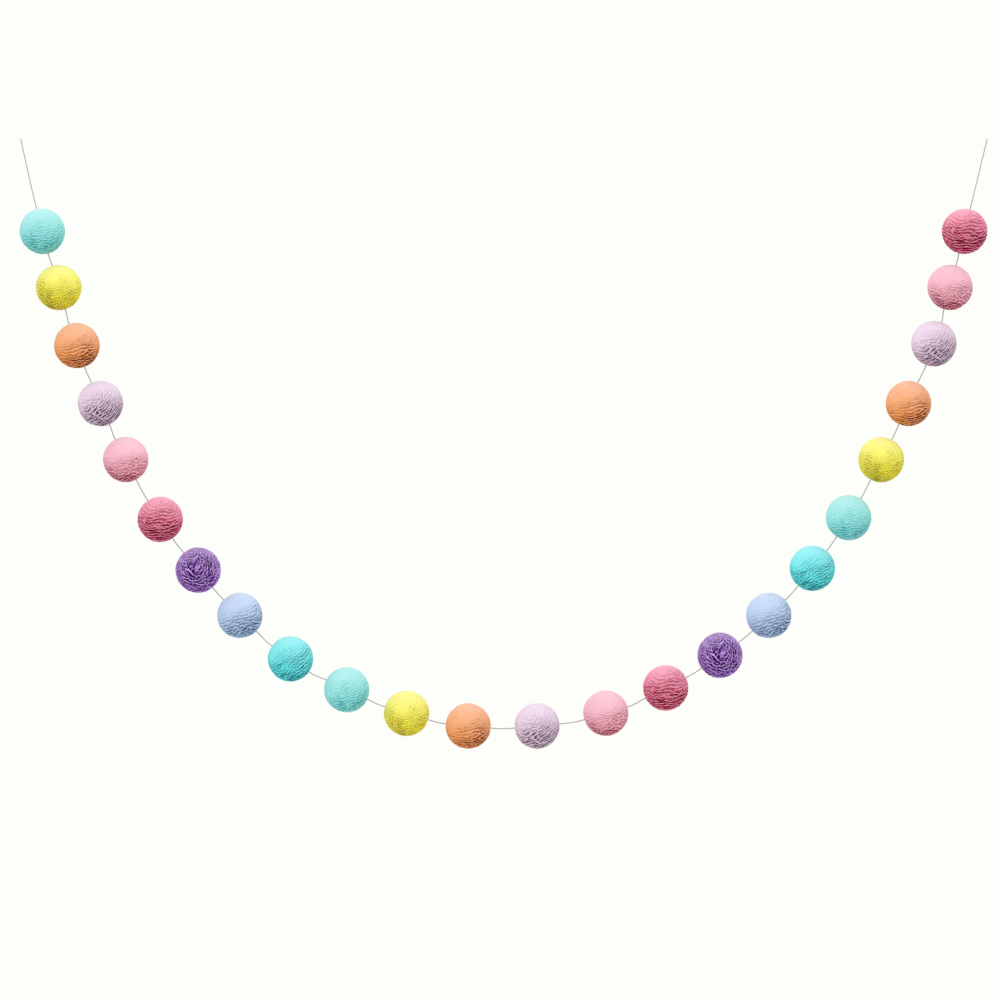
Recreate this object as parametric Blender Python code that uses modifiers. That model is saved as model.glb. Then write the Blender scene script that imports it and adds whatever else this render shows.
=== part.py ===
"""Felt ball garland: balls of felted wool threaded on a thin string that hangs in a deep curve.

Metres, +Z up. The garland hangs flat in the X-Z plane. The origin is the string's bare left end,
the right end lies on +X at the same height, and the wall that it decorates is on the +Y side.
Run it with: blender --background --python part.py
"""

import math
from collections import namedtuple

import bpy
import numpy as np
from mathutils import Vector
from mathutils.geometry import interpolate_bezier

MM = 0.001

# Driving sizes
STRING_DIAMETER = 0.7 * MM
BALL_DIAMETER = 25 * MM
THREADING_GAP = 0.3 * MM  # between the string and the wall of the hole through a ball
BALL_SIDES = 16  # facets around a ball
BALL_ARCS = 10  # facets from the hole's upper edge to its lower edge
STRAIGHT_PAST_BALL = 1.0 * MM  # the string stays straight this far outside each ball
POINTS_IN_GAP = 3  # on the string's curve from one ball to the next, with both its ends

WOOL_ROUGHNESS = 0.95
STRING_ROUGHNESS = 0.8
STRING_COLOUR = (0.80, 0.80, 0.78)

# The colours of the wools that the balls are rolled from.
WOOL_COLOURS = {
    "aqua": (0.28, 0.67, 0.65),
    "yellow": (0.77, 0.72, 0.15),
    "orange": (0.77, 0.34, 0.16),
    "lilac": (0.61, 0.47, 0.58),
    "light_pink": (0.78, 0.39, 0.46),
    "rose": (0.63, 0.18, 0.27),
    "purple": (0.28, 0.15, 0.43),
    "light_blue": (0.42, 0.53, 0.70),
    "turquoise": (0.19, 0.65, 0.67),
}

# The balls in threading order. Each one's centre is given across and up, in mm from the string's left end.
Ball = namedtuple("Ball", "wool across_mm up_mm")
BALLS = [
    Ball("aqua", 12, -51),
    Ball("yellow", 21, -82),
    Ball("orange", 31, -114),
    Ball("lilac", 44, -146),
    Ball("light_pink", 58, -177),
    Ball("rose", 77, -210),
    Ball("purple", 98, -238),
    Ball("light_blue", 121, -263),
    Ball("turquoise", 149, -287),
    Ball("aqua", 180, -304),
    Ball("yellow", 213, -317),
    Ball("orange", 247, -324),
    Ball("lilac", 285, -324),
    Ball("light_pink", 323, -317),
    Ball("rose", 356, -303),
    Ball("purple", 386, -285),
    Ball("light_blue", 413, -263),
    Ball("turquoise", 437, -237),
    Ball("aqua", 457, -209),
    Ball("yellow", 475, -177),
    Ball("orange", 490, -146),
    Ball("lilac", 504, -113),
    Ball("light_pink", 513, -82),
    Ball("rose", 521, -51),
]
RIGHT_END_MM = (533.5, 0)


def string_seats():
    """The places that the string hangs through: its left end, each ball's centre and its right end."""
    centres = [(ball.across_mm, ball.up_mm) for ball in BALLS]
    return [Vector((across, 0, up)) * MM for across, up in [(0, 0), *centres, RIGHT_END_MM]]


def straight_runs():
    """Where the string starts and stops being straight to pass through each ball."""
    seats = string_seats()
    runs = []
    for before, centre, after in zip(seats, seats[1:], seats[2:]):
        reach = (after - before).normalized() * (BALL_DIAMETER / 2 + STRAIGHT_PAST_BALL)
        runs.append((centre - reach, centre + reach))
    return runs


def plain_material(name, colour, roughness):
    material = bpy.data.materials.new(name)
    material.use_nodes = True
    shader = material.node_tree.nodes["Principled BSDF"]
    shader.inputs["Base Color"].default_value = (*colour, 1)
    shader.inputs["Roughness"].default_value = roughness
    shader.inputs["Metallic"].default_value = 0
    return material


def ball_profile():
    """(radius, height) down a ball's outer side, from the upper to the lower edge of its threading hole."""
    radius = BALL_DIAMETER / 2
    # The hole's facets are its nearest points to the string, so its corners lie a little further out.
    hole = (STRING_DIAMETER / 2 + THREADING_GAP) / math.cos(math.pi / BALL_SIDES)
    first = math.asin(hole / radius)
    angles = np.linspace(first, math.pi - first, BALL_ARCS + 1)
    return [(radius * math.sin(a), radius * math.cos(a)) for a in angles]


def ball_mesh(wool_name):
    """The turned profile of a ball, closed along the wall of the threading hole."""
    profile = ball_profile()
    mesh = bpy.data.meshes.new(f"ball_{wool_name}")
    count = len(profile)
    edges = [(i, (i + 1) % count) for i in range(count)]
    mesh.from_pydata([(r, 0, z) for r, z in profile], edges, [])
    mesh.materials.append(plain_material(f"felt_{wool_name}", WOOL_COLOURS[wool_name], WOOL_ROUGHNESS))
    return mesh


def add_ball(name, mesh, run, collection, parent):
    """A ball on the string, with its threading hole along the straight run through it."""
    start, end = run
    ball = bpy.data.objects.new(name, mesh)
    ball.location = (start + end) / 2
    ball.rotation_mode = "QUATERNION"
    ball.rotation_quaternion = (end - start).to_track_quat("Z", "Y")
    ball.parent = parent
    collection.objects.link(ball)
    turn = ball.modifiers.new("Turned shape", "SCREW")
    turn.axis = "Z"
    turn.angle = math.tau
    turn.steps = BALL_SIDES
    turn.render_steps = BALL_SIDES
    turn.use_merge_vertices = True
    turn.merge_threshold = 0.00001
    turn.use_smooth_shade = True
    return ball


def string_points(runs):
    """Points down one smooth curve, which leaves each ball and enters the next along their holes."""
    seats = string_seats()
    starts = [seats[0], *(end for start, end in runs)]
    ends = [*(start for start, end in runs), seats[-1]]
    ways = [(end - start).normalized() for start, end in runs]
    ways_out = [(ends[0] - starts[0]).normalized(), *ways]
    ways_in = [*ways, (ends[-1] - starts[-1]).normalized()]
    points = []
    for start, way_out, end, way_in in zip(starts, ways_out, ends, ways_in):
        third = (end - start).length / 3
        handles = start + way_out * third, end - way_in * third
        points += interpolate_bezier(start, *handles, end, POINTS_IN_GAP)
    return points


def add_string(points, collection, parent):
    curve = bpy.data.curves.new("string", "CURVE")
    curve.dimensions = "3D"
    curve.bevel_depth = STRING_DIAMETER / 2
    curve.bevel_resolution = 2
    curve.use_fill_caps = True
    spline = curve.splines.new("POLY")
    spline.points.add(len(points) - 1)
    for place, point in zip(spline.points, points):
        place.co = (*point, 1)
    spline.use_smooth = True
    curve.materials.append(plain_material("string", STRING_COLOUR, STRING_ROUGHNESS))
    thread = bpy.data.objects.new("string", curve)
    thread.parent = parent
    collection.objects.link(thread)
    return thread


def build():
    for leftover in list(bpy.data.objects):
        bpy.data.objects.remove(leftover)
    collection = bpy.data.collections.new("Felt ball garland")
    bpy.context.scene.collection.children.link(collection)
    garland = bpy.data.objects.new("garland", None)
    collection.objects.link(garland)

    runs = straight_runs()
    meshes = {name: ball_mesh(name) for name in WOOL_COLOURS}
    for number, (ball, run) in enumerate(zip(BALLS, runs), start=1):
        add_ball(f"ball_{number:02d}_{ball.wool}", meshes[ball.wool], run, collection, garland)
    add_string(string_points(runs), collection, garland)


build()
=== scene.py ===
# %% [markdown]
# # A felt ball garland
# Wool balls on a thin string, hung up by its two ends. The balls are rolled from wet wool, so their
# skin is a mat of curved strands with darker crevices between them. This lesson starts from the
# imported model, which fixes every place and size, and makes the camera, the string, the strands of
# each ball, the wool's colours and the light.

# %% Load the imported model
import math
from collections import namedtuple

import bpy
import numpy as np
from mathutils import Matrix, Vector
from mathutils.geometry import interpolate_bezier


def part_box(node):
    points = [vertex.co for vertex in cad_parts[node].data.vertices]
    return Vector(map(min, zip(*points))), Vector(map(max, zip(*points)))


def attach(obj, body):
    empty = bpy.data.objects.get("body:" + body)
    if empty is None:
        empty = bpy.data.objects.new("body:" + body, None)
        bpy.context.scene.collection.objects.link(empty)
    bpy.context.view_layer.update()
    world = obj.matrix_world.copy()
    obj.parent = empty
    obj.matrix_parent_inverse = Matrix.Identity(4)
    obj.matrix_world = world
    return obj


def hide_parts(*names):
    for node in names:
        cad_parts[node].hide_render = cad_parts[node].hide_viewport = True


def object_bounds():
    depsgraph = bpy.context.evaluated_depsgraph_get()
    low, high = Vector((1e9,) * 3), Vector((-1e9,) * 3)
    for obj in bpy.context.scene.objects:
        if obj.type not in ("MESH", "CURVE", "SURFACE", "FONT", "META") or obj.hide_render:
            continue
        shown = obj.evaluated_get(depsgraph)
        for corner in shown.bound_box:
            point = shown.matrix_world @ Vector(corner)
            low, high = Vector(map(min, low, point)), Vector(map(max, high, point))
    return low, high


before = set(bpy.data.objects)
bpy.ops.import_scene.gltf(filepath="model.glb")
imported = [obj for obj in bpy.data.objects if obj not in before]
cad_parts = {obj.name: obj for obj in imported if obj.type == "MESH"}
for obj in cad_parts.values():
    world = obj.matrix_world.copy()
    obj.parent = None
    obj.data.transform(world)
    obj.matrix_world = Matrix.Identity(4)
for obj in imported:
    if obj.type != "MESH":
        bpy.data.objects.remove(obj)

MM = 0.001
cad_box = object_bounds()
ball_names = sorted(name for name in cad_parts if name.startswith("ball_"))
print(f"{len(ball_names)} balls, model box {np.round(cad_box, 4).tolist()}")

# %% [markdown]
# ## The camera
# The garland is seen square on from the front. A long lens far away keeps every ball round, where a
# short one would stretch those near the picture's edge. The distance follows from the lens and from
# the width of the view at the garland.

# %% Camera
VIEW_WIDTH = 552 * MM
LENS_MM = 120
VIEW_LEFT_OF_MIDDLE = 2.1 * MM
VIEW_BELOW_MIDDLE = 31.1 * MM

box_low, box_high = (Vector(corner) for corner in cad_box)
middle = (box_low + box_high) / 2
lens = bpy.data.cameras.new("Camera")
lens.lens = LENS_MM
camera_distance = VIEW_WIDTH * lens.lens / lens.sensor_width
camera = bpy.data.objects.new("Camera", lens)
camera.location = middle + Vector((-VIEW_LEFT_OF_MIDDLE, -camera_distance, -VIEW_BELOW_MIDDLE))
camera.rotation_euler = (math.pi / 2, 0, 0)
bpy.context.scene.collection.objects.link(camera)
bpy.context.scene.camera = camera
print(f"camera {camera_distance:.2f} m in front of the garland")

# %% [markdown]
# ## Shader maths as plain sums
# A material's numbers are worked out by nodes. Wiring them one by one is slow to write and to read,
# so a small class wraps a socket and lets Python's operators add the Math nodes.

# %% A wrapped socket
class Value:
    """A number that changes over the surface. Sums on it add Math nodes to its material."""

    def __init__(self, finish, socket):
        self.finish = finish
        self.socket = socket

    def maths(self, operation, *others):
        parts = dict(enumerate((self, *others)))
        return self.finish.node("ShaderNodeMath", {"operation": operation}, parts)

    def __add__(self, other):
        return self.maths("ADD", other)

    def __mul__(self, other):
        return self.maths("MULTIPLY", other)

    def __sub__(self, other):
        return self.maths("SUBTRACT", other)

    def __truediv__(self, other):
        return self.maths("DIVIDE", other)

    def __pow__(self, other):
        return self.maths("POWER", other)

    def __rsub__(self, other):
        return (self * -1) + other

    __radd__ = __add__
    __rmul__ = __mul__

    def held(self):
        """The same number, kept between 0 and 1."""
        return self.maths("MAXIMUM", 0).maths("MINIMUM", 1)


# %% A material and its nodes
class Finish:
    """A Principled material. node() adds any other node to it."""

    def __init__(self, name, constants):
        self.material = bpy.data.materials.new(name)
        self.material.use_nodes = True
        self.tree = self.material.node_tree
        self.shader = self.tree.nodes["Principled BSDF"]
        for socket, constant in constants.items():
            self.shader.inputs[socket].default_value = constant

    def fill(self, socket, value):
        if isinstance(value, Value):
            self.tree.links.new(value.socket, socket)
        else:
            socket.default_value = value

    def node(self, kind, settings, sockets, output=0):
        node = self.tree.nodes.new(kind)
        for setting, value in settings.items():
            setattr(node, setting, value)
        for key, value in sockets.items():
            self.fill(node.inputs[key], value)
        return Value(self, node.outputs[output])

    def attribute(self, name, output="Fac"):
        return self.node("ShaderNodeAttribute", {"attribute_name": name}, {}, output)

    def split(self, vector):
        node = self.node("ShaderNodeSeparateXYZ", {}, {0: vector}).socket.node
        return [Value(self, output) for output in node.outputs]

    def blend(self, share, first, second):
        """A colour between two others. The numbers are the Mix node's colour sockets."""
        return self.node("ShaderNodeMix", {"data_type": "RGBA"}, {0: share, 6: first, 7: second}, 2)

    def noise(self, vector, scale, detail=2.0):
        sockets = {"Vector": vector, "Scale": scale, "Detail": detail}
        return self.node("ShaderNodeTexNoise", {}, sockets)

    def surface(self, socket, value):
        self.fill(self.shader.inputs[socket], value)


print("shader helpers ready")

# %% [markdown]
# ## The string's route
# Each ball pulls the string down at its own place. The hole through a ball is straight, so the string
# is straight there, and it turns in the short gaps between the balls. A Bezier curve across each gap
# leaves one ball and enters the next along their holes, which makes one smooth curve of the whole.
# The balls' centres that place the string in the model are given here again, in millimetres from the
# left end. The model's tube takes three points from each curve, and the thread made here takes nine.

# %% Places that the string hangs through
RIGHT_END_MM = (533.5, 0)
BALL_CENTRES_MM = [
    (12, -51),
    (21, -82),
    (31, -114),
    (44, -146),
    (58, -177),
    (77, -210),
    (98, -238),
    (121, -263),
    (149, -287),
    (180, -304),
    (213, -317),
    (247, -324),
    (285, -324),
    (323, -317),
    (356, -303),
    (386, -285),
    (413, -263),
    (437, -237),
    (457, -209),
    (475, -177),
    (490, -146),
    (504, -113),
    (513, -82),
    (521, -51),
]
STRAIGHT_PAST_BALL = 1.0 * MM  # the string stays straight this far outside each ball
POINTS_IN_GAP = 9  # on the curve across a gap, with both its ends
print(f"{len(BALL_CENTRES_MM)} balls to hang on a span of {RIGHT_END_MM[0]} mm")


def unit(vectors):
    return vectors / np.linalg.norm(vectors, axis=-1, keepdims=True)


def curve_across(start, way_out, end, way_in):
    """Points of a Bezier curve that leaves start along way_out and reaches end along way_in."""
    third = np.linalg.norm(end - start) / 3
    knots = start, start + way_out * third, end - way_in * third, end
    return interpolate_bezier(*(Vector(knot) for knot in knots), POINTS_IN_GAP)


# %% The balls' seats and the string's line
Seat = namedtuple("Seat", "centre radius station along")
places = np.array([(x, 0, z) for x, z in [(0, 0), *BALL_CENTRES_MM, RIGHT_END_MM]]) * MM
headings = unit(places[2:] - places[:-2])
boxes = np.array([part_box(name) for name in ball_names])
centres = boxes.mean(1)
radii = (boxes[:, 1, 1] - boxes[:, 0, 1]) / 2
reach = headings * (radii + STRAIGHT_PAST_BALL)[:, None]
starts = np.concatenate([places[:1], places[1:-1] + reach])
ends = np.concatenate([places[1:-1] - reach, places[-1:]])
ways_out = np.concatenate([unit(ends[:1] - starts[:1]), headings])
ways_in = np.concatenate([headings, unit(ends[-1:] - starts[-1:])])
gaps = [curve_across(*gap) for gap in zip(starts, ways_out, ends, ways_in)]
route = np.array([tuple(point) for gap in gaps for point in gap])
route_lengths = np.concatenate([[0], np.cumsum(np.linalg.norm(np.diff(route, axis=0), axis=1))])
string_length = route_lengths[-1]
# A ball sits half way between the last point of one gap and the first point of the next.
before_balls = route_lengths[POINTS_IN_GAP - 1 : -1 : POINTS_IN_GAP]
after_balls = route_lengths[POINTS_IN_GAP::POINTS_IN_GAP]
stations = (before_balls + after_balls) / 2
seats = {name: Seat(*seat) for name, *seat in zip(ball_names, centres, radii, stations, headings)}


def string_point(station):
    return np.stack([np.interp(station, route_lengths, route[:, i]) for i in range(3)], -1)


misfit = np.abs(centres - places[1:-1]).max()
print(f"the string is {string_length:.4f} m long")
print(f"the balls' boxes agree with it to {misfit / MM:.3f} mm")

# %% [markdown]
# ## The string
# It is a thin off-white thread of three plies twisted together. Three separate helices would cost
# many faces for something under a millimetre thick, so one tube has a section with three lobes that
# turns along the way. Rings stand close together where the thread shows and far apart inside a ball.

# %% String sizes
STRING_DIAMETER = 0.7 * MM
PLIES = 3
SIDES_A_PLY = 4
PLY_DEPTH = 0.16  # how deep the grooves between the plies go, as a share of the radius
TWIST_LENGTH = 2.6 * MM  # along the string for a full turn of a ply
RING_STEP = 0.3 * MM
HIDDEN_STEP = 2.5 * MM
HIDDEN_IN_BALL = 1.5 * MM  # the rings start to spread this deep inside a ball
CUT_END_RINGS = 3
CUT_END_SHARE = 0.55  # of the full radius, where the string is cut
print(f"a string of {PLIES} plies and {PLIES * SIDES_A_PLY} sides")


# %% Stations of the string's rings
def ring_stations():
    """Ring places along the string: close together in the open, spread out inside the balls."""
    places = [0.0]
    while places[-1] < string_length - RING_STEP:
        here = places[-1]
        buried = any(
            abs(here + HIDDEN_STEP / 2 - seat.station) < seat.radius - HIDDEN_IN_BALL
            for seat in seats.values()
        )
        places.append(here + (HIDDEN_STEP if buried else RING_STEP))
    return np.array(places + [string_length])


rings_at = ring_stations()
print(f"{len(rings_at)} rings along the string")


# %% Faces of a tube
def tube_faces(rings, sides, tubes=1):
    """Quads round each tube, for vertices in the order tube, ring, side."""
    tube, ring, side = np.meshgrid(np.arange(tubes), np.arange(rings - 1), np.arange(sides), indexing="ij")
    following = (side + 1) % sides
    first = (tube * rings + ring) * sides
    corners = [first + side, first + following, first + sides + following, first + sides + side]
    return np.stack(corners, -1).reshape(-1, 4)


# %% Twisted string
def string_rings():
    centres = string_point(rings_at)
    ahead = string_point(np.minimum(rings_at + RING_STEP, string_length))
    behind = string_point(np.maximum(rings_at - RING_STEP, 0))
    along = unit(ahead - behind)
    across = np.array([0, 1.0, 0])
    up = np.cross(along, across)
    sides = PLIES * SIDES_A_PLY
    angle = np.arange(sides) / sides * math.tau
    groove = 1 - PLY_DEPTH * (0.5 - 0.5 * np.cos(PLIES * angle))
    turned = angle[None, :] + rings_at[:, None] / TWIST_LENGTH * math.tau
    radius = np.full(len(rings_at), STRING_DIAMETER / 2)
    radius[:CUT_END_RINGS] *= np.linspace(CUT_END_SHARE, 1, CUT_END_RINGS)
    radius[-CUT_END_RINGS:] *= np.linspace(1, CUT_END_SHARE, CUT_END_RINGS)
    reach = radius[:, None] * groove[None, :]
    round_way = np.cos(turned)[..., None] * across + np.sin(turned)[..., None] * up[:, None, :]
    rings = centres[:, None, :] + reach[..., None] * round_way
    depth = np.broadcast_to((groove - 1 + PLY_DEPTH) / PLY_DEPTH, reach.shape)
    return rings, depth


def make_string():
    rings, depth = string_rings()
    count, sides, _ = rings.shape
    walls = tube_faces(count, sides)
    # Each cut end is one flat face, wound so that it looks outwards.
    first_end = list(range(sides))[::-1]
    last_end = list(range((count - 1) * sides, count * sides))
    mesh = bpy.data.meshes.new("thread")
    mesh.from_pydata(rings.reshape(-1, 3).tolist(), [], [*walls.tolist(), first_end, last_end])
    layer = mesh.attributes.new("proud", "FLOAT", "POINT")
    layer.data.foreach_set("value", depth.ravel().astype(np.float32))
    mesh.shade_smooth()
    thread = bpy.data.objects.new("thread", mesh)
    bpy.context.scene.collection.objects.link(thread)
    return thread


thread = make_string()
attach(thread, "root")
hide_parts("string")
print(f"string of {len(thread.data.polygons)} faces")

# %% [markdown]
# ## The wools
# Each colour is its own wool, and each felts in its own way: some stay a smooth ball with a few
# creases, others are creased all over. The first line of a row gives the colour of its ridges and the
# darker colour painted into its crevices as shade. The second gives how far apart the creases lie, how
# long their strands are, how deep they go and how wild they run, then the axis that the wool is wound
# round, the side of the ball where the creases open most, and how open they are a quarter turn away from
# it.

# %% Table of wools
Wool = namedtuple(
    "Wool", "ridge crevice spacing_mm strand_mm relief_mm wildness wound_round open_side openness"
)
WOOLS = {
    "aqua": Wool(
        (0.27, 0.82, 0.79), (0.08, 0.50, 0.50),
        1.4, 1.4, 0.45, 0.12, (-0.3, -0.45, 1.0), (0.3, -0.1, -0.9), 0.35,
    ),
    "yellow": Wool(
        (0.98, 0.93, 0.02), (0.48, 0.34, 0.00),
        1.3, 0.95, 0.42, 0.6, (-0.1, -0.4, 1.0), (0.0, -0.1, -1.0), 0.45,
    ),
    "orange": Wool(
        (0.98, 0.36, 0.09), (0.26, 0.03, 0.00),
        1.4, 1.9, 0.46, 0.2, (-0.2, -0.4, 1.0), (0.4, -0.1, -0.9), 0.3,
    ),
    "lilac": Wool(
        (0.84, 0.63, 0.81), (0.12, 0.06, 0.10),
        1.5, 1.6, 0.62, 0.1, (-0.6, -0.6, 0.6), (0.2, -0.2, -0.9), 0.4,
    ),
    "light_pink": Wool(
        (0.98, 0.45, 0.56), (0.36, 0.00, 0.03),
        1.5, 1.4, 0.65, 0.6, (0.05, -0.45, 1.0), (0.1, 0.0, -1.0), 0.28,
    ),
    "rose": Wool(
        (0.98, 0.21, 0.37), (0.36, 0.00, 0.04),
        1.6, 1.7, 0.75, 0.05, (0.0, -0.35, 1.0), (0.0, -0.3, -0.8), 0.58,
    ),
    "purple": Wool(
        (0.66, 0.29, 0.99), (0.05, 0.00, 0.16),
        1.55, 2.0, 0.95, 0.5, (-0.25, -0.9, 0.5), (0.0, -0.5, -0.8), 0.92,
    ),
    "light_blue": Wool(
        (0.48, 0.64, 0.91), (0.09, 0.19, 0.32),
        1.65, 1.7, 0.60, 0.3, (-0.3, -0.45, 1.0), (0.5, -0.1, -0.8), 0.35,
    ),
    "turquoise": Wool(
        (0.09, 0.86, 0.89), (0.00, 0.18, 0.21),
        1.55, 1.5, 0.60, 0.35, (-0.5, -0.5, 0.8), (0.3, -0.1, -0.9), 0.42,
    ),
}
print(f"{len(WOOLS)} wools")

# %% [markdown]
# ## A ball's grid
# A globe's rings waste vertices at its poles. Here the six faces of a cube are cut into squares and
# blown up into a ball instead: the squares stay nearly even, and each face of the cube gives one
# square of the map that a bake needs.

# %% Cube blown up into a ball
SQUARES = 54  # along each edge of the cube
MAP_MARGIN = 0.01
WISP_STRIP = 0.93  # the map above this height is kept for the loose wisps
BAKE_MAP = "OFBake"


def cube_ball(squares):
    """Unit directions, quads between them, and the place of each quad corner in the bake map."""
    steps = np.tan(np.linspace(-math.pi / 4, math.pi / 4, squares + 1))
    share = np.linspace(MAP_MARGIN, 1 - MAP_MARGIN, squares + 1)
    index = np.arange((squares + 1) ** 2).reshape(squares + 1, squares + 1)
    quad = np.stack([index[:-1, :-1], index[1:, :-1], index[1:, 1:], index[:-1, 1:]], -1).reshape(-1, 4)
    points, quads, corners = [], [], []
    for side in (1, -1):
        for axis in range(3):
            point = np.empty((squares + 1, squares + 1, 3))
            point[..., axis] = side
            point[..., (axis + 1) % 3] = side * steps[:, None]
            point[..., (axis + 2) % 3] = steps[None, :]
            quads.append(quad + len(points) * index.size)
            points.append(point.reshape(-1, 3))
            height = ((side < 0) + share) / 2 * WISP_STRIP
            across, up = np.meshgrid((axis + share) / 3, height, indexing="ij")
            corners.append(np.stack([across.ravel(), up.ravel()], -1)[quad].reshape(-1, 2))
    rounded = np.round(unit(np.concatenate(points)), 6)
    directions, same = np.unique(rounded, axis=0, return_inverse=True)
    return unit(directions), same.ravel()[np.concatenate(quads)], np.concatenate(corners)


grid, grid_quads, grid_map = cube_ball(SQUARES)
print(f"grid of {len(grid)} points and {len(grid_quads)} squares")

# %% [markdown]
# ## Creases of felt
# The wet wool is rolled until its strands lock, and what shows is a skin of soft ridges with narrow
# crevices that wander and fork, much like a fingerprint. Parallel waves would be too regular, and
# plain noise has no direction. So about two thousand short wave packets are scattered over the ball,
# each turned along the way the wool is wound, and a little astray. A packet that is short along the
# strand makes the ridges fork sooner. The sum of the packets is kept as two numbers, which are the
# place of a clock hand's tip: its angle says where a point lies between one crevice and the next.

# %% Crease sizes
BALL_RADIUS_MM = 12.5  # the skins are worked out on a ball of this size
PACKETS = 2200
PACKET_ACROSS_MM = 0.8
PACKET_REACH_MM = 3.2
SWIRL_WAVES = 4
SWIRL_MM = 1.3
LEAST_SWIRL = 0.15  # added to a wool's wildness
SWIRL_RATE = 0.24  # radians a millimetre
STRAY_DEG = 30
LEAST_STRAY = 0.5  # added to a wool's wildness
PHASE_STRAY = 1.3  # radians
PATCH_WAVES = 4
PATCH_RATE = 3.2
WIDER_WHERE_OPEN = 0.22
SPACING_SPREAD = 0.12
SPACING_JITTER = 0.06
SPACING_LIMITS = (0.75, 1.5)
SPOT_JITTER = 0.9  # moves a spot about a quarter of the way to the next one
print(f"{PACKETS} wave packets on each wool")


def even_spots(count, rng):
    """Directions spread evenly over the sphere, each moved a little."""
    index = np.arange(count) + 0.5
    height = 1 - 2 * index / count
    turn = index * math.pi * (1 + math.sqrt(5))
    level = np.sqrt(1 - height**2)
    spots = np.stack([np.cos(turn) * level, np.sin(turn) * level, height], -1)
    return unit(spots + rng.normal(0, SPOT_JITTER / math.sqrt(count), spots.shape))


def smooth_step(low, high, value):
    share = np.clip((value - low) / (high - low), 0, 1)
    return share * share * (3 - 2 * share)


def slow_waves(directions, count, rate, rng):
    """A smooth field over the ball, mostly between -1 and 1."""
    waves = directions @ rng.normal(0, rate, (3, count)) + rng.uniform(0, math.tau, count)
    return np.sin(waves).sum(-1) / math.sqrt(count)


# %% The wool's winding
class Winding:
    """A height across the wound wool, and the direction in which it grows, for points in mm."""

    def __init__(self, wool, rng):
        self.axis = unit(np.array(wool.wound_round))
        self.rates = rng.normal(0, SWIRL_RATE, (SWIRL_WAVES, 3))
        self.phases = rng.uniform(0, math.tau, SWIRL_WAVES)
        self.swirl = SWIRL_MM * (LEAST_SWIRL + wool.wildness)

    def height(self, points):
        return points @ self.axis + self.swirl * np.sin(points @ self.rates.T + self.phases).sum(-1)

    def across(self, points):
        waves = np.cos(points @ self.rates.T + self.phases)
        slope = self.axis + self.swirl * waves @ self.rates
        outward = unit(points)
        return unit(slope - outward * (slope * outward).sum(-1, keepdims=True))


# %% Sum of the wave packets
def wave_packets(wool, winding, rng):
    """For each grid point, the two numbers whose angle is the place between two crevices."""
    spots = even_spots(PACKETS, rng)
    places = spots * BALL_RADIUS_MM
    across = winding.across(places)
    stray = np.radians(STRAY_DEG * (LEAST_STRAY + wool.wildness)) * rng.normal(0, 1, (PACKETS, 1))
    across = np.cos(stray) * across + np.sin(stray) * np.cross(spots, across)
    along = np.cross(spots, across)
    uneven = slow_waves(spots, PATCH_WAVES, PATCH_RATE, rng)
    widest = WIDER_WHERE_OPEN * (spots @ unit(np.array(wool.open_side)))
    spread = 1 + widest + SPACING_SPREAD * uneven + rng.normal(0, SPACING_JITTER, PACKETS)
    rate = math.tau / (wool.spacing_mm * np.clip(spread, *SPACING_LIMITS))
    start = winding.height(places) * math.tau / wool.spacing_mm
    start += rng.normal(0, PHASE_STRAY, PACKETS)
    near = grid.astype(np.float32) @ spots.T.astype(np.float32) > math.cos(PACKET_REACH_MM / BALL_RADIUS_MM)
    point, packet = np.nonzero(near)
    offset = (grid[point] - spots[packet]) * BALL_RADIUS_MM
    over = (offset * across[packet]).sum(-1)
    down = (offset * along[packet]).sum(-1)
    weight = np.exp(-((over / PACKET_ACROSS_MM) ** 2 + (down / wool.strand_mm) ** 2) / 2)
    angle = rate[packet] * over + start[packet]
    parts = [np.bincount(point, weight * turn(angle), len(grid)) for turn in (np.cos, np.sin)]
    return np.stack(parts, -1)


# %% [markdown]
# ## Loose wisps
# Some strands never lock in with the rest. They lie over the ridges, curl a little across the
# winding and dive under at both ends. Real hair would take thousands of curves. A few flat tubes of
# four sides cost far less, and each has its own cell in the map, so that it can be baked like the rest.

# %% Wisps
WISPS = 46
WISP_RINGS = 9
WISP_SIDES = 4
WISP_LENGTH_MM = 6.5
WISP_WIDTH_MM = 0.27
WISP_RISE_MM = 0.10
WISP_DIVE_MM = 0.35
WISP_SIDES_BELOW_MM = (0, 0.14, 0.3, 0.14)  # how far each of the four sides lies below the crest
WISP_LENGTHS = (0.6, 1.4)  # shortest and longest, as shares of the length
WISP_WIDTHS = (0.6, 1.2)  # likewise of the width
WISP_TIP = 0.08  # how far along its half wave the taper starts
WISP_BLUNTNESS = 0.6
WISP_STRAY_DEG = 22
LEAST_WISP_STRAY = 0.6  # added to a wool's wildness
WISP_CURL = 0.45
WISP_COLUMNS = 23  # cells of the map's upper strip, side by side

# Shares of a wisp's cell in the map: where its walls lie in it, and where its two ends do
WALLS_CORNER = (0.12, 0.08)
WALLS_SIZE = (0.84, 0.84)
END_CORNER = (0.02, 0.1)
END_SIZE = (0.06, 0.3)
NEXT_END_UP = 0.45


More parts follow.
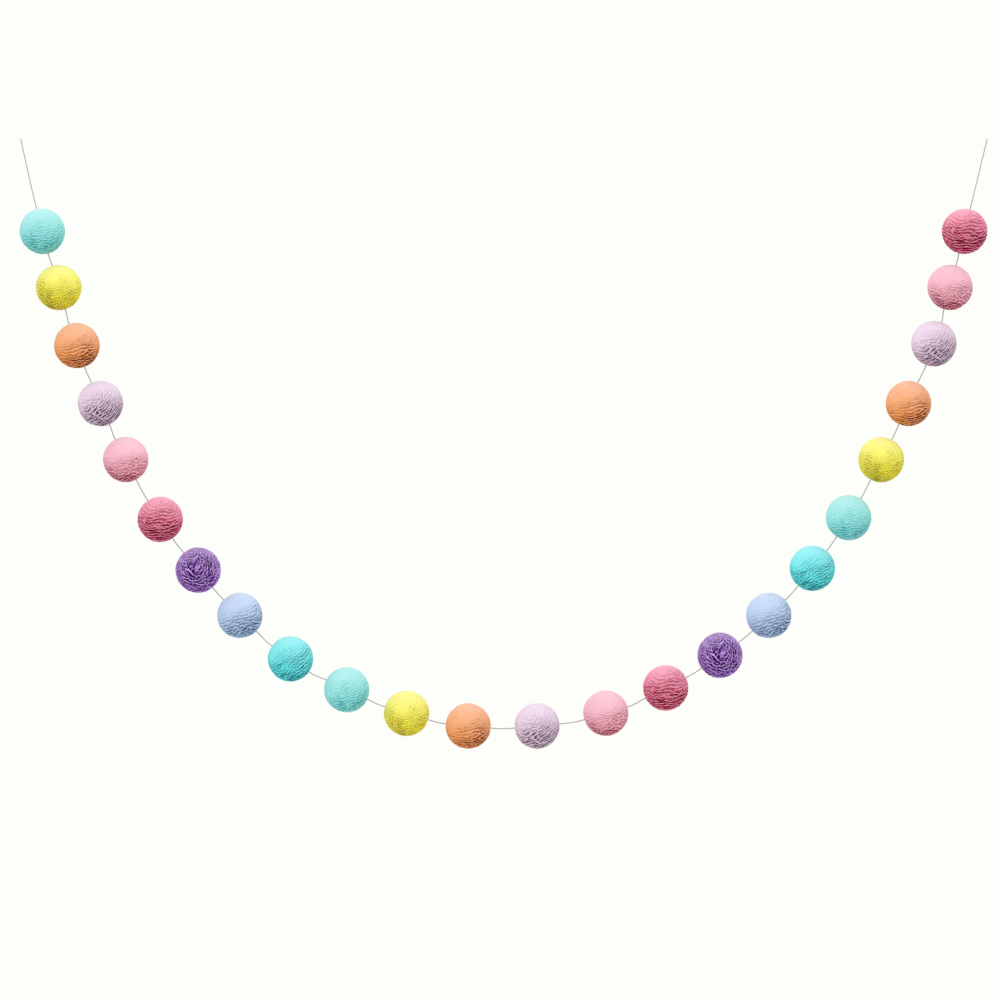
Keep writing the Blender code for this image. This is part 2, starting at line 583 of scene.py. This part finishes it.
def wisp_paths(wool, winding, rng):
    """Directions of each wisp's rings, and the way sideways at each."""
    spot = even_spots(WISPS, rng)
    stray = np.radians(WISP_STRAY_DEG) * rng.normal(0, LEAST_WISP_STRAY + wool.wildness, WISPS)
    phase = rng.uniform(0, math.tau, WISPS)
    step = WISP_LENGTH_MM / BALL_RADIUS_MM / (WISP_RINGS - 1) * rng.uniform(*WISP_LENGTHS, WISPS)
    spots, sides = [], []
    for ring in range(WISP_RINGS):
        across = winding.across(spot * BALL_RADIUS_MM)
        turn = (stray + WISP_CURL * np.sin(phase + ring))[:, None]
        heading = np.cos(turn) * np.cross(spot, across) + np.sin(turn) * across
        spots.append(spot)
        sides.append(np.cross(spot, heading))
        spot = unit(spot + heading * step[:, None])
    return np.stack(spots, 1), np.stack(sides, 1)


def wisp_tubes(wool, winding, rng):
    """Directions of the wisps' vertices and how far each stands off the ball, in mm."""
    spots, sides = wisp_paths(wool, winding, rng)
    taper = np.sin(math.pi * np.linspace(WISP_TIP, 1 - WISP_TIP, WISP_RINGS)) ** WISP_BLUNTNESS
    width = WISP_WIDTH_MM * rng.uniform(*WISP_WIDTHS, (WISPS, 1)) * taper
    half = sides * (width / 2 / BALL_RADIUS_MM)[..., None]
    directions = np.stack([spots, unit(spots - half), spots, unit(spots + half)], 2)
    crest = WISP_RISE_MM * taper - WISP_DIVE_MM * (1 - taper)
    rise = np.broadcast_to(crest[:, None] - np.array(WISP_SIDES_BELOW_MM), directions.shape[:-1])
    return directions.reshape(-1, 3), rise.ravel()


def wisp_quads():
    walls = tube_faces(WISP_RINGS, WISP_SIDES, WISPS)
    first = np.arange(WISPS)[:, None] * WISP_RINGS * WISP_SIDES
    near = first + np.arange(WISP_SIDES)[::-1]
    far = first + (WISP_RINGS - 1) * WISP_SIDES + np.arange(WISP_SIDES)
    return np.concatenate([walls, near, far])


def wisp_map():
    """A cell of the map's upper strip for each wisp, with a strip of it for each side."""
    shape = (np.arange(WISPS), np.arange(WISP_RINGS - 1), np.arange(WISP_SIDES))
    wisp, ring, side = (part[..., None] for part in np.meshgrid(*shape, indexing="ij"))
    cell = np.array([1 / WISP_COLUMNS, (1 - WISP_STRIP) / math.ceil(WISPS / WISP_COLUMNS)])
    corner = np.stack([wisp % WISP_COLUMNS, wisp // WISP_COLUMNS], -1) * cell + np.array([0, WISP_STRIP])
    along = (ring + np.array([0, 0, 1, 1])) / (WISP_RINGS - 1)
    around = (side + np.array([0, 1, 1, 0])) / WISP_SIDES
    walls = corner + (np.array(WALLS_CORNER) + np.array(WALLS_SIZE) * np.stack([along, around], -1)) * cell
    square = np.array([(0, 0), (1, 0), (1, 1), (0, 1)])
    near = corner[:, 0, 0] + (np.array(END_CORNER) + np.array(END_SIZE) * square) * cell
    far = near + np.array([0, NEXT_END_UP]) * cell
    return np.concatenate([part.reshape(-1, 2) for part in (walls, near, far)])


ball_quads = np.concatenate([grid_quads, wisp_quads() + len(grid)])
ball_map = np.concatenate([grid_map, wisp_map()])
print(f"{len(ball_quads)} squares in each ball, {len(ball_map)} corners in its map")

# %% [markdown]
# ## The skin of each wool
# A skin holds everything that the balls of one colour share: the directions of its points, how far
# each stands in or out, and the numbers that its finish needs. Making it once for each wool keeps the
# script quick, and the balls of one colour look much alike on such a garland.

# %% The skins
Skin = namedtuple("Skin", "directions relief_mm hands grain")
LUMP_MM = 0.08
LUMP_WAVES = 6
LUMP_RATE = 2.6
CLEAR = (0.08, 0.7)  # packets that cancel each other leave the felt smooth, those that agree crease it
HARDLY_OPEN = 0.06
FULLY_OPEN = 1.25
PATCHES = 0.15
BREAK_WAVES = 8
BREAK_RATE = 7.0
BREAK_SHARE = 0.25
FAINTEST = 0.05  # packets weaker than this have no clear angle
CREASE_POWER = 0.7  # below 1 the ridges are broad and the crevices narrow
WISP_DEPTH = 0.2  # a wisp's finish is that of a ridge top, this strongly
GRAIN_ALONG = 0.28  # below 1 the finish's noise is drawn out along the strands
FIRST_SEED = 20


def felt_skin(wool, rng):
    winding = Winding(wool, rng)
    hands = wave_packets(wool, winding, rng)
    strength = np.linalg.norm(hands, axis=-1)
    hands /= strength.mean()
    strength /= strength.mean()
    wisps, wisp_rise = wisp_tubes(wool, winding, rng)
    directions = np.concatenate([grid, wisps])
    lumps = LUMP_MM * slow_waves(directions, LUMP_WAVES, LUMP_RATE, rng)
    patches = slow_waves(grid, PATCH_WAVES, PATCH_RATE, rng)
    breaks = 1 - BREAK_SHARE * (0.5 + 0.5 * slow_waves(grid, BREAK_WAVES, BREAK_RATE, rng))
    side = unit(np.array(wool.open_side))
    opened = wool.openness + (FULLY_OPEN - wool.openness) * (grid @ side) + PATCHES * patches
    opened = np.clip(opened, HARDLY_OPEN, FULLY_OPEN)
    depth = smooth_step(*CLEAR, strength) * opened * np.clip(breaks, 0, 1)
    wave = 0.5 + 0.5 * hands[:, 0] / np.maximum(strength, FAINTEST)
    relief = np.concatenate([wool.relief_mm * depth * (wave**CREASE_POWER - 1), wisp_rise]) + lumps
    grid_hands = np.column_stack([hands, depth])
    wisp_hands = np.tile([1.0, 0.0, WISP_DEPTH], (len(wisps), 1))
    points = directions * BALL_RADIUS_MM
    grain = points * GRAIN_ALONG + winding.height(points)[:, None] * winding.axis
    return Skin(directions, relief, np.concatenate([grid_hands, wisp_hands]), grain)


skins = {}
for number, (wool_name, wool) in enumerate(WOOLS.items()):
    skins[wool_name] = felt_skin(wool, np.random.default_rng(FIRST_SEED + number))
print(f"skins for {len(skins)} wools")

# %% [markdown]
# ## Balls from skins
# The balls of one colour share a skin, each turned a little. Where the string goes in, the felt is
# drawn into a small dimple.

# %% Raise a ball
DIMPLE_DEPTH = 0.5 * MM
DIMPLE_RADIUS = 1.1 * MM
BALL_TURN_DEG = 4
TURN_SEED = 5


def mesh_object(name, vertices, faces, attributes):
    """A smooth-shaded object. attributes are (name, type, one value for each vertex)."""
    mesh = bpy.data.meshes.new(name)
    mesh.from_pydata(vertices.tolist(), [], faces.tolist())
    for label, kind, values in attributes:
        layer = mesh.attributes.new(label, kind, "POINT")
        field = "vector" if kind == "FLOAT_VECTOR" else "value"
        layer.data.foreach_set(field, np.ascontiguousarray(values, np.float32).ravel())
    mesh.shade_smooth()
    thing = bpy.data.objects.new(name, mesh)
    bpy.context.scene.collection.objects.link(thing)
    return thing


def make_ball(name, rng):
    wool_name = name.split("_", 2)[2]
    seat, skin = seats[name], skins[wool_name]
    angle = math.radians(BALL_TURN_DEG) * rng.normal()
    level, rise = math.cos(angle), math.sin(angle)
    directions = skin.directions @ np.array([[level, 0, rise], [0, 1, 0], [-rise, 0, level]])
    off_string = seat.radius * np.sqrt(np.maximum(1 - (directions @ seat.along) ** 2, 0))
    dimple = DIMPLE_DEPTH * np.exp(-((off_string / DIMPLE_RADIUS) ** 2))
    reach = seat.radius + skin.relief_mm * MM - dimple
    attributes = [
        ("hands", "FLOAT_VECTOR", skin.hands),
        ("grain", "FLOAT_VECTOR", skin.grain),
        # how far up a point lies, which sets the painted light on the upper side
        ("crown", "FLOAT", 0.5 + 0.5 * directions[:, 2]),
    ]
    ball = mesh_object("felt_" + name, seat.centre + directions * reach[:, None], ball_quads, attributes)
    ball.data.uv_layers.new(name=BAKE_MAP).data.foreach_set("uv", ball_map.astype(np.float32).ravel())
    return ball, wool_name


# %% [markdown]
# ## The felt's finish
# Wool is matt and a little velvety. The ridges' tops are painted paler as a highlight, and the crevices
# darker as shade. An image could be painted for this, but it would blur close up. So the angle of the clock
# hand is worked out again in the shader for every point, and a crevice is sharper than the squares of
# the mesh. Noise that is drawn out along the strands ruffles it. On top of that come:
#
# - painted crevice shade that is wider where the creases are deep, as felt is when it gapes
# - small pits between the ridges, as a bump and as painted shade, most of them where the creases are deep
# - single fibres, as a fine bump, as painted shade between them, and as pale flecks outside the crevices
# - painted light on the upper side: a greyish veil, as loose fluff lit from above would show

# %% Numbers for the felt
STREAK_SCALE = 0.85
STREAK_DETAIL = 3.0
STREAK_GAIN = 2.4
STREAK_SHARE = 0.42
FIBRE_SCALE = 11.0
FIBRE_DETAIL = 1.5
FIBRE_MM = 0.09
FIBRE_RUFFLE = 0.2
FIBRE_SHADE = 0.3
FIBRE_PALE_FROM = 0.54
FIBRE_TINT = 0.9
SHORTEST_HAND = 0.002  # keeps the division by the hand's length safe where the packets cancel
BUMP_SHARE = 1.5  # how much of the relief the bump adds to the mesh's own
CREVICE_BELOW = 0.5
WIDER_WHERE_DEEP = 0.2
CREVICE_EDGE = 8.0
RIDGE_TOP = 0.6
RIDGE_PAINTED_HIGHLIGHT = 1.9
PIT_SCALE = 1.1
PIT_DETAIL = 1.0
PIT_BELOW = 0.37
PIT_EDGE = 9.0
PIT_MM = 0.5
PITS_WHERE_DEEP = 0.5
PITS_ANYWHERE = 0.15
PAINTED_TOP_LIGHT = 0.54
PAINTED_TOP_LIGHT_FROM = 0.2
PAINTED_TOP_LIGHT_COLOUR = (0.62, 0.62, 0.62, 1)
WOOL_SHADER = {"Roughness": 0.95, "Sheen Weight": 0.05, "Sheen Roughness": 0.3, "Specular IOR Level": 0.05}
print(f"felt of roughness {WOOL_SHADER['Roughness']}, fibres {FIBRE_MM} mm high")


# %% Felt material
def felt(wool_name):
    wool = WOOLS[wool_name]
    finish = Finish(f"felt {wool_name.replace('_', ' ')}", WOOL_SHADER)
    first, second, depth = finish.split(finish.attribute("hands", "Vector"))
    grain = finish.attribute("grain", "Vector")
    crown = finish.attribute("crown")

    # How high the felt stands at a point: about 0 in a crevice and 1 on a ridge
    streaks = (finish.noise(grain, STREAK_SCALE, STREAK_DETAIL) - 0.5) * STREAK_GAIN + 0.5
    fibres = finish.noise(grain, FIBRE_SCALE, FIBRE_DETAIL)
    length = (first * first + second * second + SHORTEST_HAND) ** 0.5
    wave = first / length * 0.5 + 0.5
    felted = wave * (1 - STREAK_SHARE) + streaks * STREAK_SHARE + (fibres - 0.5) * FIBRE_RUFFLE

    # Painted shade: a darker colour in the crevices and pits, and between the fibres
    below = depth * WIDER_WHERE_DEEP + CREVICE_BELOW
    crevice = ((below - felted) * CREVICE_EDGE).held() * depth
    often = depth * PITS_WHERE_DEEP + PITS_ANYWHERE
    pits = ((PIT_BELOW - finish.noise(grain, PIT_SCALE, PIT_DETAIL)) * PIT_EDGE).held() * often
    share = (crevice + pits + (0.5 - fibres) * FIBRE_SHADE).held()
    colour = finish.blend(share, (*wool.ridge, 1), (*wool.crevice, 1))

    # Pale: a painted highlight on the ridges' tops, pale single fibres, and painted light on the upper side
    # The ridges' tops are painted paler as a highlight. The fibre flecks are the wool's own paler tone.
    ridge_highlight_and_flecks = ((felted - RIDGE_TOP) * RIDGE_PAINTED_HIGHLIGHT).held() * depth
    ridge_highlight_and_flecks = ridge_highlight_and_flecks + ((fibres - FIBRE_PALE_FROM) * FIBRE_TINT).held() * (1 - share)
    pale = tuple((1 + part) / 2 for part in wool.ridge)
    colour = finish.blend(ridge_highlight_and_flecks, colour, (*pale, 1))
    # Painted light: the upper side is blended towards a pale grey, as if lit from above
    painted_top_light = ((crown - PAINTED_TOP_LIGHT_FROM) * PAINTED_TOP_LIGHT).held() * (1 - share)
    finish.surface("Base Color", finish.blend(painted_top_light, colour, PAINTED_TOP_LIGHT_COLOUR))

    height = fibres * FIBRE_MM + felted * (depth * (wool.relief_mm * BUMP_SHARE)) - pits * PIT_MM
    finish.surface("Normal", finish.node("ShaderNodeBump", {}, {"Height": height, "Distance": MM}))
    return finish.material


felts = {wool_name: felt(wool_name) for wool_name in WOOLS}
print(f"{len(felts)} felt materials")

# %% Make the balls
faces_made = 0
turn_rng = np.random.default_rng(TURN_SEED)
for name in ball_names:
    ball, wool_name = make_ball(name, turn_rng)
    ball.data.materials.append(felts[wool_name])
    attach(ball, "root")
    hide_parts(name)
    faces_made += sum(len(face.vertices) - 2 for face in ball.data.polygons)
print(f"{faces_made} triangles in the balls")

# %% [markdown]
# ## The string's finish
# An off-white cotton thread, matt, with painted shade in the grooves between its plies. The mesh already
# carries how proud each point stands, so the grooves need no noise. A fine noise gives the fluff on it.

# %% String material
FLUFF_SCALE = 2500.0
FLUFF_SHARE = 0.4
FLUFF_RISE = 0.05 * MM
PROUD_SHARE = 0.8
GROOVE_SHADE_COLOUR = (0.30, 0.30, 0.29, 1)
PLY_COLOUR = (0.56, 0.56, 0.54, 1)


def cotton():
    finish = Finish("cotton string", {"Roughness": 0.85, "Specular IOR Level": 0.3})
    proud = finish.attribute("proud")
    place = finish.node("ShaderNodeTexCoord", {}, {}, "Object")
    fluff = finish.noise(place, FLUFF_SCALE)
    share = (proud * PROUD_SHARE + fluff * FLUFF_SHARE).held()
    # painted shade: the grooves between the plies are coloured darker
    finish.surface("Base Color", finish.blend(share, GROOVE_SHADE_COLOUR, PLY_COLOUR))
    bump = finish.node("ShaderNodeBump", {}, {"Height": fluff, "Distance": FLUFF_RISE, "Strength": 0.5})
    finish.surface("Normal", bump)
    return finish.material


thread.data.materials.append(cotton())
print("string finished")

# %% [markdown]
# ## Floor, light and air
# A big soft lamp hangs above and in front, as a window would, and the white room fills the shadows.
# The room's air is brighter above than below, so that the balls' undersides are darker. A ceiling and
# walls could do the same, but they would stand in the way of a camera that moves round. The Light Path
# node gives the camera a plain near white instead of that uneven air. The floor lies well below the
# picture. Its edge fades away, so that no view from above shows a rim.

# %% Lamp
LAMP_HEIGHT = 1.25
LAMP_FORWARD = 0.95
LAMP_LEFT = 0.15
LAMP_SIZE = 1.4
LAMP_POWER = 6.6

lamp_data = bpy.data.lights.new("Soft lamp", "AREA")
lamp_data.shape = "DISK"
lamp_data.size = LAMP_SIZE
lamp_data.energy = LAMP_POWER
lamp = bpy.data.objects.new("Soft lamp", lamp_data)
lamp.location = middle + Vector((-LAMP_LEFT, -LAMP_FORWARD, LAMP_HEIGHT))
lamp.rotation_euler = (middle - lamp.location).to_track_quat("-Z", "Y").to_euler()
bpy.context.scene.collection.objects.link(lamp)
print(f"lamp {LAMP_HEIGHT} m above the garland")

# %% Air
AIR_SEEN = (0.982, 0.991, 0.956, 1)
AIR_LIGHT = 0.91
AIR_FROM_ABOVE = 0.29  # how much brighter the air is above than at the sides, and how much darker below

world = bpy.data.worlds.new("White room")
world.use_nodes = True
bpy.context.scene.world = world
tree = world.node_tree
glow = tree.nodes["Background"]
glow.inputs["Color"].default_value = (1, 1, 1, 1)
way = tree.nodes.new("ShaderNodeTexCoord")
parts = tree.nodes.new("ShaderNodeSeparateXYZ")
gradient = tree.nodes.new("ShaderNodeMath")
gradient.operation = "MULTIPLY_ADD"
gradient.inputs[1].default_value = AIR_LIGHT * AIR_FROM_ABOVE
gradient.inputs[2].default_value = AIR_LIGHT
tree.links.new(way.outputs["Generated"], parts.inputs[0])
tree.links.new(parts.outputs["Z"], gradient.inputs[0])
tree.links.new(gradient.outputs[0], glow.inputs["Strength"])
seen = tree.nodes.new("ShaderNodeBackground")
seen.inputs["Color"].default_value = AIR_SEEN
rays = tree.nodes.new("ShaderNodeLightPath")
choice = tree.nodes.new("ShaderNodeMixShader")
tree.links.new(rays.outputs["Is Camera Ray"], choice.inputs[0])
tree.links.new(glow.outputs[0], choice.inputs[1])
tree.links.new(seen.outputs[0], choice.inputs[2])
tree.links.new(choice.outputs[0], tree.nodes["World Output"].inputs["Surface"])
bpy.context.scene.view_settings.view_transform = "Standard"
print(f"air light {AIR_LIGHT}")

# %% Floor
FLOOR_BELOW = 0.45
FLOOR_RADIUS = 0.9

bpy.ops.mesh.primitive_circle_add(vertices=96, radius=FLOOR_RADIUS, fill_type="NGON")
floor = bpy.context.object
floor.name = "floor"
floor.location = middle - Vector((0, 0, FLOOR_BELOW))
pale = Finish("pale floor", {"Base Color": (0.9, 0.9, 0.88, 1), "Roughness": 0.9})
spot = pale.node("ShaderNodeTexCoord", {}, {}, "Object")
away = pale.node("ShaderNodeVectorMath", {"operation": "LENGTH"}, {0: spot}, "Value")
pale.surface("Alpha", (1 - away * (1 / FLOOR_RADIUS)).held())
floor.data.materials.append(pale.material)
print("floor ready")
